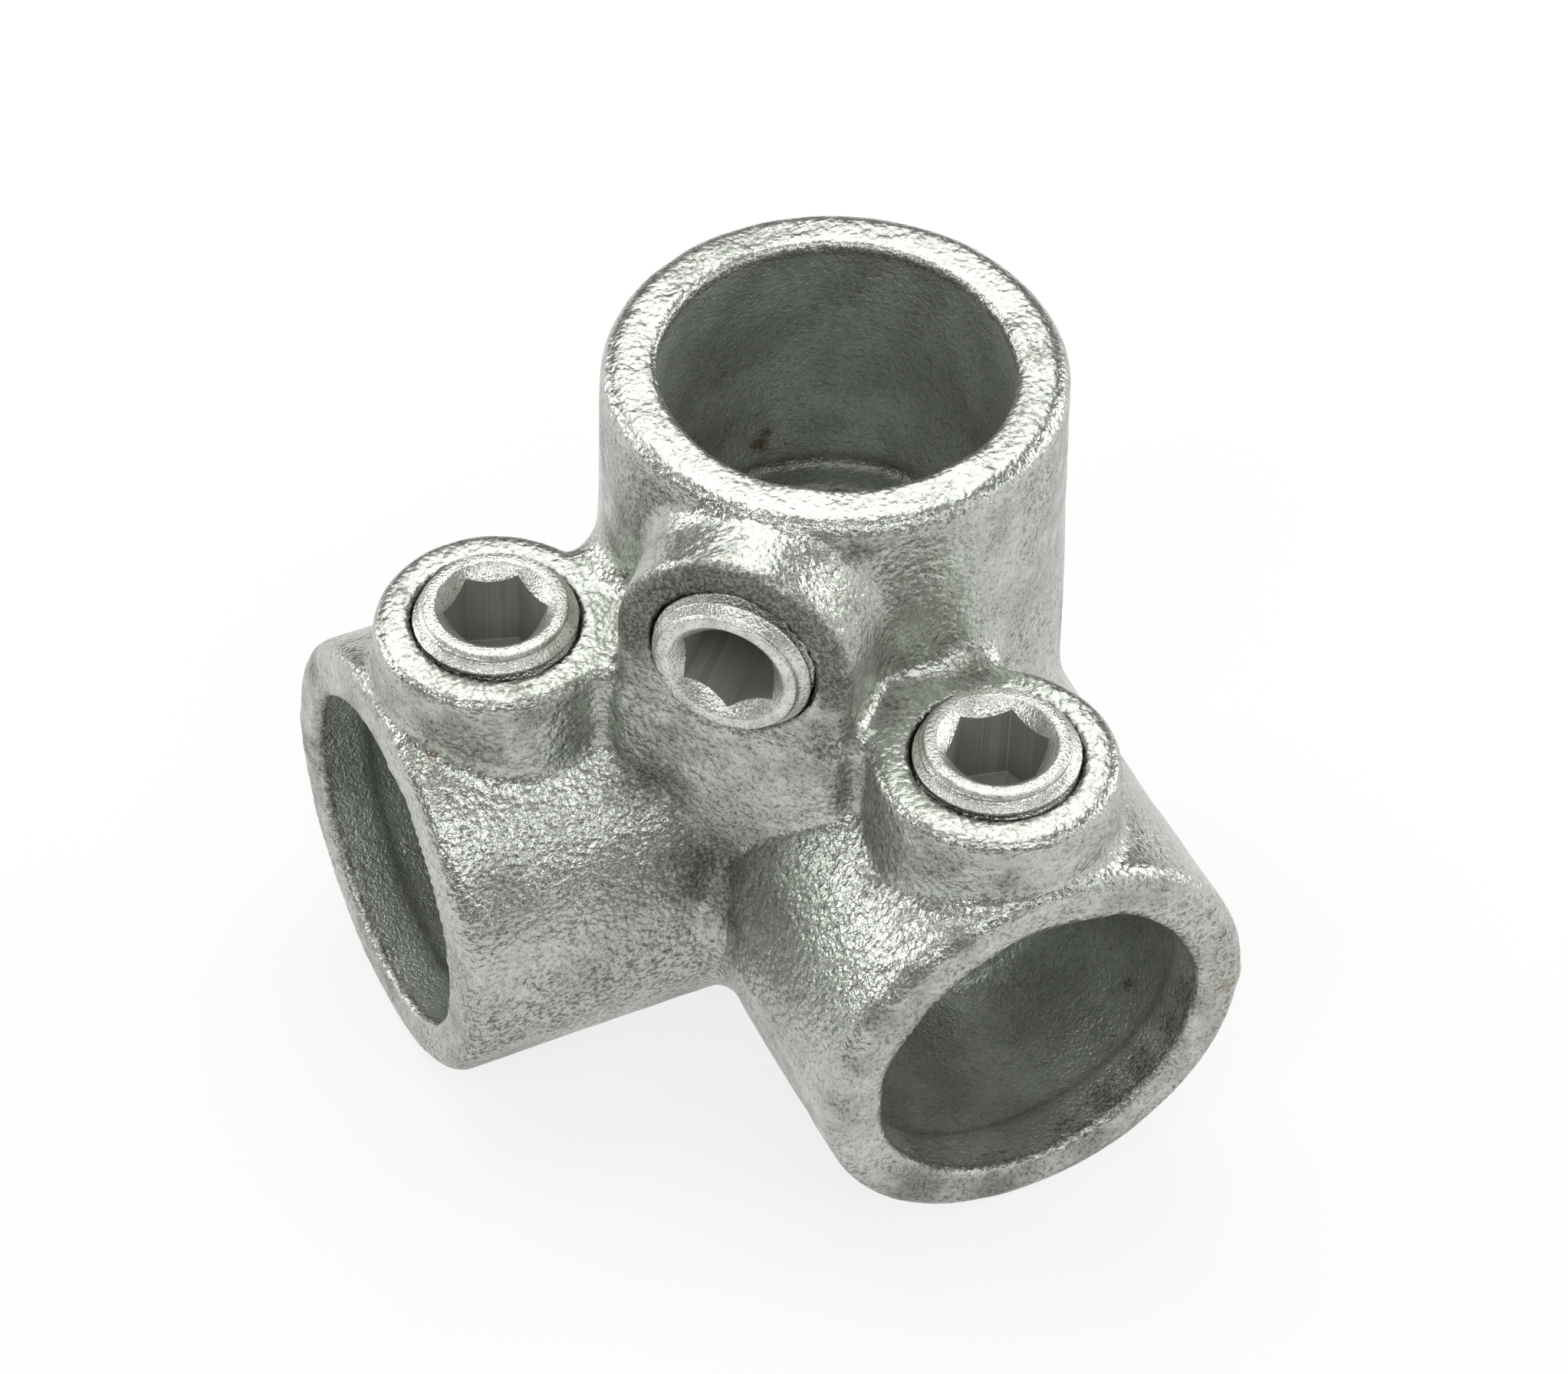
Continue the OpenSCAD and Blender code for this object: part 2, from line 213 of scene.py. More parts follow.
class CastingSettings(PropertyGroup):
    """Sizes of the casting. The frame gives the ones that the CAD part fixes."""

    bore: FloatProperty(
        name="Bore", description="Radius of a socket's bore", unit="LENGTH",
        default=MOUNTS["socket_x"]["dims"]["r_mm"] * MM)
    mouth: FloatProperty(
        name="Mouth", description="Outside radius of a socket at its mouth", unit="LENGTH",
        default=-BODY_LOW.z)
    root: FloatProperty(
        name="Root", description="Radius of the rounded corner behind the sockets", unit="LENGTH",
        default=-BODY_LOW.x)
    reach: FloatProperty(
        name="Reach", description="From the axes' crossing to a mouth", unit="LENGTH",
        default=BODY_HIGH.x)
    stop: FloatProperty(
        name="Stop", description="From the axes' crossing to the stop in a bore", unit="LENGTH",
        default=15.5 * MM)
    ledge: FloatProperty(name="Ledge", description="Width of the stop ledge", unit="LENGTH", default=3 * MM)
    lip: FloatProperty(
        name="Lip", description="Length of the close lip at a mouth", unit="LENGTH", default=4.4 * MM)
    land: FloatProperty(
        name="Land", description="Length of the close land before a stop", unit="LENGTH", default=5 * MM)
    relief: FloatProperty(
        name="Relief", description="Depth of the cored relief between lip and land", unit="LENGTH",
        default=0.5 * MM)
    rim_round: FloatProperty(
        name="Rim rounding", description="Rounding of a rim's outer edge", unit="LENGTH", default=1.6 * MM)
    mouth_round: FloatProperty(
        name="Mouth rounding", description="Rounding of a rim's inner edge", unit="LENGTH", default=0.6 * MM)
    corner_wall: FloatProperty(
        name="Corner wall", description="Wall of the rounded corner", unit="LENGTH", default=5 * MM)
    corner_lift: FloatProperty(
        name="Corner lift", description="Height of the rounded corner's flat above the floor",
        unit="LENGTH", default=0.4 * MM)
    crotch_round: FloatProperty(
        name="Crotch fillet", description="Fillet between the level sockets, low down", unit="LENGTH",
        default=2.8 * MM)
    notch_round: FloatProperty(
        name="Notch fillet", description="Fillet in the tight corners between the bosses", unit="LENGTH",
        default=1.0 * MM)
    web_top: FloatProperty(
        name="Web top", description="Height of the web under the upright socket's boss", unit="LENGTH",
        default=22.2 * MM)
    web_proud: FloatProperty(
        name="Web proud", description="How far that web stands out of the boss face", unit="LENGTH",
        default=0.6 * MM)
    screw_at: FloatProperty(
        name="Screw place", description="From the axes' crossing to a set screw, along its socket",
        unit="LENGTH", default=(SCREW_LOW.x + SCREW_HIGH.x) / 2)
    hole: FloatProperty(
        name="Screw hole", description="Radius of a set screw's hole", unit="LENGTH",
        default=(SCREW_HIGH.x - SCREW_LOW.x) / 2 + SCREW_PLAY)
    hole_round: FloatProperty(
        name="Hole rounding", description="Rounding of a screw hole's edge", unit="LENGTH", default=0.3 * MM)
    boss: FloatProperty(
        name="Boss", description="Radius of a boss at its face", unit="LENGTH", default=9.58 * MM)
    flank_inset: FloatProperty(
        name="Flank inset", description="How far a level boss's straight flank stands in from its round",
        unit="LENGTH", default=0.8 * MM)
    crease: FloatProperty(
        name="Crease", description="Fillet between that flank and the round", unit="LENGTH", default=2 * MM)
    boss_face: FloatProperty(
        name="Boss face", description="Height of a boss face above its socket's axis", unit="LENGTH",
        default=SCREW_HIGH.z - SCREW_PROUD)
    boss_round: FloatProperty(
        name="Boss rounding", description="Rounding of a boss face's edge", unit="LENGTH", default=1.1 * MM)
    boss_draft: FloatProperty(
        name="Boss draft", description="Slope of a boss's side", subtype="ANGLE", default=math.radians(2))
    boss_fillet: FloatProperty(
        name="Boss fillet", description="Fillet between a level boss and its socket", unit="LENGTH",
        default=1.8 * MM)
    upright_fillet: FloatProperty(
        name="Upright boss fillet", description="Fillet between the upright socket and its boss",
        unit="LENGTH", default=2.8 * MM)
    grid: FloatProperty(
        name="Grid", description="Spacing of the surface's grid", unit="LENGTH",
        default=0.56 * MM)
    sag: FloatProperty(
        name="Sag", description="Height of the slow waviness of the cast wall", unit="LENGTH",
        default=0.12 * MM)
    sag_size: FloatProperty(
        name="Sag size", description="Width of the slow waviness", unit="LENGTH", default=9 * MM)
    peel: FloatProperty(
        name="Peel", description="Height of the small unevenness of the zinc", unit="LENGTH",
        default=0.05 * MM)
    peel_size: FloatProperty(
        name="Peel size", description="Width of the small unevenness", unit="LENGTH", default=2.2 * MM)
    lip_wave: FloatProperty(
        name="Lip wave", description="Height of the zinc's unevenness at a mouth's inner edge", unit="LENGTH",
        default=0.2 * MM)
    lip_size: FloatProperty(
        name="Lip wave size", description="Width of that unevenness", unit="LENGTH", default=3 * MM)
    parting: FloatProperty(
        name="Parting ridge", description="Height of the ridge that the mould's joint left",
        unit="LENGTH", default=0.12 * MM)
    parting_width: FloatProperty(
        name="Parting width", description="Half the width of that ridge", unit="LENGTH", default=0.9 * MM)
    dirt_size: FloatProperty(
        name="Dirt size", description="Width of the patches of scattered dirt", unit="LENGTH", default=5 * MM)
    dark_ring: FloatProperty(
        name="Dark ring", description="Radius of the dark ring on the upright socket's boss", unit="LENGTH",
        default=8.2 * MM)
    ring_width: FloatProperty(
        name="Dark ring width", description="Half the width of that ring", unit="LENGTH", default=1.7 * MM)
    seed: IntProperty(name="Seed", description="Seed of the unevenness", default=11)


class ScrewSettings(PropertyGroup):
    """Sizes of a set screw. The frame gives its radius, its ends and its place."""

    crest: FloatProperty(
        name="Crest", description="Radius of the thread's crest", unit="LENGTH",
        default=(SCREW_HIGH.x - SCREW_LOW.x) / 2)
    length: FloatProperty(
        name="Length", description="From the cup point to the ring", unit="LENGTH",
        default=SCREW_HIGH.z - SCREW_LOW.z)
    pitch: FloatProperty(name="Pitch", description="Pitch of the thread", unit="LENGTH", default=1.337 * MM)
    depth: FloatProperty(name="Depth", description="Depth of the thread", unit="LENGTH", default=0.8 * MM)
    groove: FloatProperty(
        name="Groove", description="Half the width of the thread's groove at its crest", unit="LENGTH",
        default=0.5 * MM)
    groove_turn: FloatProperty(
        name="Groove turn", description="Angle at which the last groove comes out of the chamfer",
        subtype="ANGLE", default=math.radians(63))
    groove_drop: FloatProperty(
        name="Groove drop", description="How far below the ring the groove is there", unit="LENGTH",
        default=0.65 * MM)
    chamfer: FloatProperty(
        name="Chamfer", description="Slope of the chamfer between ring and thread", subtype="ANGLE",
        default=math.radians(48))
    key_width: FloatProperty(
        name="Key width", description="Width across the flats of the key hole", unit="LENGTH", default=7 * MM)
    key_depth: FloatProperty(
        name="Key depth", description="Depth of the key hole", unit="LENGTH", default=7.5 * MM)
    sink: FloatProperty(
        name="Countersink", description="Radius of the countersink around the key hole", unit="LENGTH",
        default=4.7 * MM)
    ring: FloatProperty(
        name="Ring", description="Outside radius of the flat ring", unit="LENGTH", default=5.7 * MM)
    neck: FloatProperty(
        name="Neck", description="Height of the ring's side", unit="LENGTH", default=0.35 * MM)
    bevel: FloatProperty(name="Bevel", description="Bevel at the point", unit="LENGTH", default=1.2 * MM)
    cup: FloatProperty(name="Cup", description="Radius of the cup", unit="LENGTH", default=3.5 * MM)
    cup_depth: FloatProperty(
        name="Cup depth", description="Depth of the cup", unit="LENGTH", default=1.5 * MM)
    edge: FloatProperty(
        name="Edge", description="Rounding of the turned edges", unit="LENGTH", default=0.15 * MM)
    turn_x: FloatProperty(
        name="X turn", description="Turn of the X screw's key hole", subtype="ANGLE",
        default=math.radians(41))
    turn_y: FloatProperty(
        name="Y turn", description="Turn of the Y screw's key hole", subtype="ANGLE",
        default=math.radians(47))
    turn_upright: FloatProperty(
        name="Upright turn", description="Turn of the upright socket's key hole", subtype="ANGLE",
        default=math.radians(1))
    around: IntProperty(name="Around", description="Grid columns around a screw", default=192)
    per_turn: IntProperty(name="Per turn", description="Grid rows in a turn of the thread", default=18)


class StageSettings(PropertyGroup):
    """Camera, floor and lights."""

    azimuth: FloatProperty(
        name="Azimuth", description="Turn of the camera about the upright", subtype="ANGLE",
        default=math.radians(153.1556))
    elevation: FloatProperty(
        name="Elevation", description="Camera's angle above the floor", subtype="ANGLE",
        default=math.radians(46.1858))
    roll: FloatProperty(
        name="Roll", description="Tilt of the camera", subtype="ANGLE", default=math.radians(1.9303))
    distance: FloatProperty(
        name="Distance", description="From the camera to the point that it looks at", unit="LENGTH",
        default=436.223 * MM)
    target: FloatVectorProperty(
        name="Target", description="Point that the camera looks at", subtype="TRANSLATION",
        default=(2.192 * MM, -2.9259 * MM, 1.4304 * MM))
    lens: FloatProperty(name="Lens", description="Focal length in millimetres", default=121.02)
    floor_size: FloatProperty(
        name="Floor", description="Side of the floor", unit="LENGTH", default=4.0)
    lamp_distance: FloatProperty(
        name="Lamp distance", description="From the fitting to each soft light", unit="LENGTH", default=0.9)
    fill: FloatProperty(
        name="Fill", description="Strength of the even light all round", default=0.14)


class Signal:
    """A value in a node tree. Arithmetic with it adds Math nodes."""

    def __init__(self, tree, socket):
        self.tree = tree
        self.socket = socket

    def math(self, operation, *others):
        """The result of a Math node, with this value first."""
        return self.tree.add("ShaderNodeMath", [self, *others], operation=operation)

    def __add__(self, other):
        return self.math("ADD", other)

    __radd__ = __add__

    def __sub__(self, other):
        return self.math("SUBTRACT", other)

    def __rsub__(self, other):
        return self.tree.add("ShaderNodeMath", [other, self], operation="SUBTRACT")

    def __mul__(self, other):
        return self.math("MULTIPLY", other)

    __rmul__ = __mul__

    def spread(self, width):
        """This noise about zero, with the given width."""
        return (self - MIDDLE) * width

    def ramp(self, low, high):
        """This value as a smooth step: 0 at low, 1 at high."""
        return self.tree.add(
            "ShaderNodeMapRange", {"Value": self, "From Min": low, "From Max": high},
            interpolation_type="SMOOTHSTEP")


class NodeTree:
    """A new node tree of a material or a world, with shorthand for its nodes."""

    def __init__(self, owner):
        owner.use_nodes = True
        self.owner = owner
        self.tree = owner.node_tree
        self.tree.nodes.clear()

    def add(self, kind, inputs=(), output=0, **settings):
        """A node of any kind: its settings, its inputs by place or name, and the output that is used."""
        node = self.tree.nodes.new(kind)
        for name, value in settings.items():
            setattr(node, name, value)
        pairs = inputs.items() if isinstance(inputs, dict) else enumerate(inputs)
        for key, value in pairs:
            if isinstance(value, Signal):
                self.tree.links.new(value.socket, node.inputs[key])
            else:
                node.inputs[key].default_value = value
        return Signal(self, node.outputs[output]) if node.outputs else None

    def noise(self, place, size, detail=2.0, rough=0.5):
        """Smooth noise from 0 to 1 with lumps of about the given size."""
        return self.add(
            "ShaderNodeTexNoise",
            {"Vector": place, "Scale": 1 / size, "Detail": detail, "Roughness": rough})

    def blend(self, factor, first, second):
        """A colour between two: the first at factor 0, the second at factor 1."""
        return self.add(
            "ShaderNodeMix", {0: factor, 6: first, 7: second}, output=2, data_type="RGBA")

    def attribute(self, name):
        """A value that the mesh carries."""
        return self.add("ShaderNodeAttribute", output=2, attribute_name=name)

    def place(self):
        """Object coordinates."""
        return self.add("ShaderNodeTexCoord", output=3)

    def seen(self):
        """1 for rays from the camera and for what metal shows of the floor, else 0."""
        first, second = (self.add("ShaderNodeLightPath", output=f"Is {kind} Ray") for kind in SEEN)
        return first.math("MAXIMUM", second)

    def metal(self, colour, roughness, metallic, height):
        """The finished material of a metal, with its unevenness in millimetres."""
        bump = self.add("ShaderNodeBump", {"Strength": 1.0, "Distance": MM, "Height": height})
        surface = self.add("ShaderNodeBsdfPrincipled", {
            "Base Color": colour, "Roughness": roughness, "Metallic": metallic, "Normal": bump})
        self.add("ShaderNodeOutputMaterial", [surface])
        return self.owner


def zinc_material():
    """Hot-dipped zinc on sand-cast iron: bright, grained, sandy in places, with staining, pits and dark dirt,
    painted light on level faces, and painted shade in the crotch, the notch, the mouths, the upright bore's
    end and around the screws.
    """
    tree = NodeTree(bpy.data.materials.new("galvanised zinc"))
    place = tree.place()
    inside = tree.attribute("inside")
    level = tree.attribute("flat")
    cloud = tree.noise(place, CLOUD_SIZE, rough=0.6)
    patch = tree.noise(place, PATCH_SIZE, detail=3.0, rough=0.65)
    lump = tree.noise(place, LUMP_SIZE, detail=1.0)
    mottle = tree.noise(place, MOTTLE_SIZE, rough=0.7)
    sand = tree.noise(place, SAND_SIZE, detail=1.5, rough=0.65)
    cell = tree.add("ShaderNodeTexVoronoi", {"Vector": place, "Scale": 1 / CELL_SIZE})
    dome = cell * cell
    sandy = (tree.attribute("sandy") + patch.spread(SANDY_PATCH)).ramp(*SANDY_RANGE)
    stain_and_shade = tree.attribute("stain_and_shade") + patch.spread(STAIN_AND_SHADE_PATCH) + mottle.spread(STAIN_AND_SHADE_MOTTLE)
    stain_and_shade = stain_and_shade.ramp(*STAIN_AND_SHADE_RANGE)
    speck = (mottle + patch.spread(SPECK_PATCH)).ramp(*SPECK_RANGE)
    pit = (sand * PIT_SAND + mottle * (1 - PIT_SAND)).ramp(*PIT_RANGE)

    bright = tree.blend(mottle.ramp(*ZINC_RANGE), *ZINC)
    # Painted light: level faces get a lighter, more even zinc
    bright = tree.blend(level * LEVEL_LIGHT_COVER, bright, LIT_LEVEL_ZINC)
    skin = tree.blend(sandy, bright, tree.blend(speck, *SANDY_ZINC))
    core = tree.blend(cloud.ramp(*CORE_RANGE), *CORE_ZINC)
    skin = tree.blend(inside * CORE_COVER, skin, core)
    # Dark dirt colour, which also paints shade in the crotch, in the notch between the bosses and in a band
    # inside each mouth
    grime_and_shade = tree.blend(sand.ramp(*GRIME_AND_SHADE_RANGE), *GRIME_AND_SHADE)
    skin = tree.blend(stain_and_shade * GRIME_AND_SHADE_COVER, skin, grime_and_shade)
    low = pit * (PIT_COVER + sandy * SANDY_PIT_COVER) + dome.ramp(*CELL_RANGE) * CELL_COVER
    skin = tree.blend(low, skin, PIT)
    # Painted shade at the upright bore's end and in the gap around each screw, and rust
    for mark, shade in MARKS.items():
        skin = tree.blend(tree.attribute(mark), skin, shade)

    roughness = ZINC_ROUGH + sandy * SANDY_ROUGH + stain_and_shade * STAIN_AND_SHADE_ROUGH + inside * INSIDE_ROUGH
    metallic = ZINC_METAL - stain_and_shade * STAIN_AND_SHADE_DULL - inside * INSIDE_DULL
    smooth = (lump * LUMP_HEIGHT - dome * CELL_HEIGHT) * (1 - level * LEVEL_CALM - inside * INSIDE_CALM)
    height = smooth + sand * SAND_HEIGHT * (1 - level * LEVEL_FINE + inside * INSIDE_COARSE)
    return tree.metal(skin, roughness, metallic, height)


def plated_material():
    """Plated steel: bright and finely grained, with broach lines down the key hole."""
    tree = NodeTree(bpy.data.materials.new("plated steel"))
    place = tree.place()
    key = tree.attribute("key")
    haze = tree.noise(place, HAZE_SIZE, detail=3.0, rough=0.6)
    grain = tree.noise(place, GRAIN_SIZE, detail=1.5, rough=0.6)
    streak = tree.add(
        "ShaderNodeTexNoise", {"W": tree.attribute("around"), "Scale": 1 / STREAK_SIZE, "Detail": 2.0},
        noise_dimensions="1D")
    plate = tree.blend(haze.ramp(*HAZE_RANGE), *PLATE)
    plate = tree.blend(grain.ramp(*SPOT_RANGE) * SPOT_COVER, plate, SPOT)
    colour = tree.blend(key, plate, tree.blend(streak, *BROACH))
    roughness = PLATE_ROUGH + haze * HAZE_ROUGH + key * KEY_ROUGH
    metallic = PLATE_METAL - key * KEY_DULL
    height = grain * GRAIN_HEIGHT * (1 - key) + streak * STREAK_HEIGHT * key
    return tree.metal(colour, roughness, metallic, height)


def floor_material():
    """White floor that keeps the shadow: matt white under part of a plain white glow."""
    tree = NodeTree(bpy.data.materials.new("white floor"))
    matt = tree.add("ShaderNodeBsdfDiffuse", {"Color": MATT_WHITE})
    glow = tree.add("ShaderNodeEmission", {"Color": WHITE})
    surface = tree.add("ShaderNodeMixShader", [tree.seen() * GLOW, matt, glow])
    tree.add("ShaderNodeOutputMaterial", [surface])
    return tree.owner


def fillet(a, b, radius, lean=0.0):
    """Union of two fields with the fillet that a rolling ball leaves.

    With lean = the cosine between the two slopes, u = radius - a and v = radius - b, the fillet is
    radius - sqrt((u^2 + v^2 - 2 lean u v) / (1 - lean^2)) where u > lean v and v > lean u. Elsewhere, and
    where the two run side by side, it is min(a, b).
    """
    u = radius - a
    v = radius - b
    square = np.maximum(u * u + v * v - 2 * lean * u * v, 0)
    away = np.sqrt(square / np.maximum(1 - lean * lean, LEAST_SINE))
    between = (u > lean * v) & (v > lean * u) & (lean < PARALLEL)
    return np.where(between, radius - away, np.minimum(a, b))


def rounded(a, b, radius):
    """What lies within both fields, with the edge between them rounded."""
    return -fillet(-a, -b, radius)


def rise(field, points):
    """A field at points, and how much it rises over a small step along each axis."""
    start = field(points)
    return start, np.stack([field(points + STEP * axis) - start for axis in np.eye(3)], axis=1)


def slope(field, points):
    """Unit gradient of a field at points, by forward differences."""
    steps = rise(field, points)[1]
    return steps / np.maximum(np.linalg.norm(steps, axis=1, keepdims=True), LEAST_LENGTH)


def joined(first, second, radius):
    """Union of two fields, given as functions, with a rolling-ball fillet of radius(points) between them."""
    def field(points):
        a = first(points)
        b = second(points)
        size = radius(points)
        out = np.minimum(a, b)
        near = (a < 2 * size) & (b < 2 * size) & (out > -2 * size)
        if near.any():
            where = points[near]
            lean = np.sum(slope(first, where) * slope(second, where), axis=1)
            out[near] = fillet(a[near], b[near], size[near], lean)
        return out
    return field


def eased(part):
    """Smooth step 3 t^2 - 2 t^3 of values t from 0 to 1."""
    return part * part * (3 - 2 * part)


def lumps(points, size, seed):
    """Smooth noise from -1 to 1: random values on a cubic lattice, blended by a smooth step on each axis."""
    table = np.random.default_rng(seed).uniform(-1, 1, (TABLE, TABLE, TABLE))
    place = points / size
    cell = np.floor(place).astype(int)
    part = eased(place - cell)
    total = np.zeros(len(points))
    for corner in np.ndindex(2, 2, 2):
        weight = np.prod(np.where(corner, part, 1 - part), axis=1)
        i, j, k = ((cell + corner) % TABLE).T
        total += weight * table[i, j, k]
    return total


def spots(points, table):
    """Largest strength exp(-(d / radius)^2) at points, over a table of places, radii and strengths."""
    out = np.zeros(len(points))
    for *place, radius, strength in table:
        away = np.linalg.norm(points / MM - place, axis=1)
        out = np.maximum(out, strength * np.exp(-np.square(away / radius)))
    return out


def socket_place(points, axis):
    """Distance from a socket's axis, and distance along it."""
    others = np.delete(points, axis, axis=1)
    return np.hypot(others[:, 0], others[:, 1]), points[:, axis]


def upright_place(points):
    """Across and along the direction in which the upright socket's screw points."""
    return (points[:, 1] - points[:, 0]) * HALF_DIAGONAL, (points[:, 0] + points[:, 1]) * HALF_DIAGONAL


def level_socket(s, axis):
    """Outside of a level socket: a cylinder with a rounded rim and a ball end in the corner."""
    def field(points):
        away, along = socket_place(points, axis)
        wall = np.hypot(away, np.minimum(along, 0)) - s.mouth
        return rounded(wall, along - s.reach, s.rim_round)
    return field


def upright_socket(s):
    """Outside of the upright socket, a cone with a rounded rim, and the rounded corner under it."""
    taper = (s.root - s.mouth) / s.reach

    def field(points):
        away, along = socket_place(points, 2)
        wall = (away - s.root + along * taper) / math.hypot(1, taper)
        cone = np.maximum(rounded(wall, along - s.reach, s.rim_round), -along)
        ball = np.maximum(np.linalg.norm(points, axis=1) - s.root, -along - s.mouth + s.corner_lift)
        return np.minimum(cone, ball)
    return field


def level_boss(s, axis):
    """Boss of a level socket: round with draft, a flat face and a straight flank towards the crotch."""
    def field(points):
        along = points[:, axis] - s.screw_at
        side = points[:, 1 - axis]
        height = points[:, 2]
        away = np.maximum(np.hypot(along, side), STEP)
        flank = np.maximum(np.maximum(side - s.boss + s.flank_inset, along), -side)
        plan = fillet(away - s.boss, flank, s.crease, side / away)
        plan = plan - (s.boss_face - height) * math.tan(s.boss_draft)
        face = rounded(plan, height - s.boss_face, s.boss_round)
        return np.maximum(np.maximum(face, -height), -points[:, axis])
    return field


def upright_boss(s):
    """Boss of the upright socket: a round end and straight flanks, which end below in a proud web."""
    def field(points):
        across, height = upright_place(points)
        above = np.maximum(points[:, 2] - s.screw_at, 0)
        plan = np.hypot(above, across) - s.boss - (s.boss_face - height) * math.tan(s.boss_draft)
        web = np.clip((s.web_top - points[:, 2]) / (2 * s.boss_round) + 0.5, 0, 1)
        front = s.boss_face + s.web_proud * eased(web)
        face = rounded(plan, height - front, s.boss_round)
        return np.maximum(np.maximum(face, -height), -points[:, 2])
    return field


def rim_fillet(s, axis, radius):
    """Fillet radius of a boss, which shrinks as the boss nears the rim."""
    return lambda points: np.clip((s.reach - points[:, axis]) * FILLET_SHRINK, FILLET_LEAST, radius)


def tight_fillet(s, change):
    """Fillet radius between sockets, which gets tight where change(points) goes from 0 to 1."""
    return lambda points: s.crotch_round + (s.notch_round - s.crotch_round) * np.clip(change(points), 0, 1)


def hollow(s, points):
    """What the bores, the stop windows and the corner take out."""
    out = np.linalg.norm(points, axis=1) - (s.root - s.corner_wall)
    for axis in range(3):
        away, along = socket_place(points, axis)
        wall = away - s.bore
        if axis < 2:
            from_stop = np.clip((along - s.stop - s.land) / s.relief, 0, 1)
            from_lip = np.clip((s.reach - s.lip - along) / s.relief, 0, 1)
            wall = wall - s.relief * from_stop * from_lip
        out = np.minimum(out, np.maximum(wall, s.stop - along))
        out = np.minimum(out, np.maximum(away - s.bore + s.ledge, np.abs(along - s.stop) - s.stop))
    return out


def screw_holes(s, points):
    """What the three screw holes take out, from the bores out through the bosses."""
    across, height = upright_place(points)
    x, y, z = points.T
    hole_x = np.maximum(np.hypot(x - s.screw_at, y), -z + s.hole)
    hole_y = np.maximum(np.hypot(x, y - s.screw_at), -z + s.hole)
    hole_upright = np.maximum(np.hypot(across, z - s.screw_at), -height + s.hole)
    return np.minimum(np.minimum(hole_x, hole_y), hole_upright) - s.hole


def casting_field(s):
    """Distance to the clean casting, as a function of points: below zero in the metal."""
    arms = []
    for axis in (0, 1):
        round_off = rim_fillet(s, axis, s.boss_fillet)
        arms.append(joined(level_socket(s, axis), level_boss(s, axis), round_off))
    arms.append(joined(upright_socket(s), upright_boss(s), rim_fillet(s, 2, s.upright_fillet)))
    upwards = tight_fillet(s, lambda points: points[:, 2] / FILLET_CHANGE)
    forwards = tight_fillet(s, lambda points: upright_place(points)[1] / FILLET_CHANGE - 1)
    outside = joined(joined(arms[0], arms[1], upwards), arms[2], forwards)

    def field(points):
        metal = rounded(outside(points), -hollow(s, points), s.mouth_round)
        return rounded(metal, -screw_holes(s, points), s.hole_round)
    return field


def net_surface(field, low, high, spacing):
    """Quads around the zero level of a field on a cubic grid.

    Each cell that the surface crosses has one vertex, at the mean of the crossings on the cell's edges.
    Each grid edge that the surface crosses has one quad, through the four cells around it.
    """
    axes = [np.arange(a, b + spacing, spacing) for a, b in zip(low, high)]
    grid = np.stack(np.meshgrid(*axes, indexing="ij"), axis=-1)
    points = grid.reshape(-1, 3)
    slabs = np.array_split(points, len(points) // SLAB + 1)
    value = np.concatenate([field(slab) for slab in slabs]).reshape(grid.shape[:3])
    cells = np.array(value.shape) - 1
    quads = []
    crossings = []
    for axis in range(3):
        last = cells[axis]
        start = value.take(range(last), axis)
        end = value.take(range(1, last + 1), axis)
        edge = np.argwhere((start < 0) != (end < 0))
        i, j, k = edge.T
        part = start[i, j, k] / (start[i, j, k] - end[i, j, k])
        crossing = grid[i, j, k] + np.outer(part * spacing, np.eye(3)[axis])
        u = np.eye(3, dtype=int)[(axis + 1) % 3]
        v = np.eye(3, dtype=int)[(axis + 2) % 3]
        around = [edge - u - v, edge - v, edge, edge - u]
        ids = np.stack([np.ravel_multi_index(cell.T, cells) for cell in around], axis=1)
        inward = start[i, j, k] >= 0
        ids[inward] = ids[inward, ::-1]
        quads.append(ids)
        crossings.append(np.repeat(crossing, 4, axis=0))
    index = np.unique(np.concatenate(quads).ravel(), return_inverse=True)[1]
    crossings = np.concatenate(crossings)
    count = np.bincount(index)
    vertices = np.stack([np.bincount(index, crossings[:, axis]) / count for axis in range(3)], axis=1)
    return vertices, index.reshape(-1, 4)


def settle(field, vertices, reach, rounds):
    """Vertices drawn onto the zero level of a field f: each round moves them by -f grad f / |grad f|^2."""
    for _ in range(rounds):
        start, steps = rise(field, vertices)
        steps = steps / STEP
        square = np.maximum(np.sum(steps * steps, axis=1), LEAST_SLOPE)
        move = np.clip(start / square, -reach, reach)
        vertices = vertices - move[:, None] * steps
    return vertices


def relax(vertices, quads):
    """Each vertex half way towards the mean of its neighbours."""
    total = np.zeros_like(vertices)
    for turn in (1, 3):
        for axis in range(3):
            total[:, axis] += np.bincount(
                quads.ravel(), vertices[np.roll(quads, -turn, axis=1).ravel(), axis], len(vertices))
    count = 2 * np.bincount(quads.ravel(), minlength=len(vertices))
    return (vertices + total / count[:, None]) / 2


